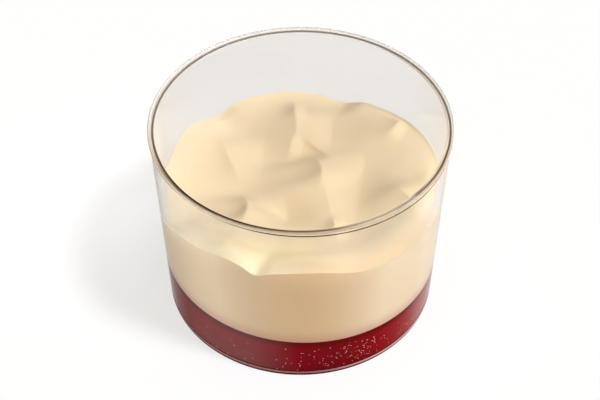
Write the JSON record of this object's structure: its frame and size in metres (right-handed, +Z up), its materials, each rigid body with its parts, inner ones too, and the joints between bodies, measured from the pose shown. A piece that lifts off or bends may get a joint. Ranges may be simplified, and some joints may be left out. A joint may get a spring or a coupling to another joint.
{
  "type": "layered cream dessert cup",
  "caption": "Clear straight-sided cup with a thin rounded rim, holding a red strawberry jelly layer under a thick pale cream layer whose top is worked into soft hooked peaks.",
  "frame": {"origin": "middle of the cup's underside, in the plane of the ring it stands on", "axes": "+Z up along the cup's axis, -Y towards the side seen in front in the picture, where the cream's edge has a notch a little left of the middle"},
  "size_m": [0.076, 0.076, 0.056],
  "materials": {
    "clear_cup": "clear and glossy",
    "strawberry_layer": "wet and glossy",
    "cream_layer": "soft satin"
  },
  "bodies": {
    "root": {"clear_cup": "clear_cup", "strawberry_layer": "strawberry_layer", "cream_layer": "cream_layer"}
  },
  "joints": []
}
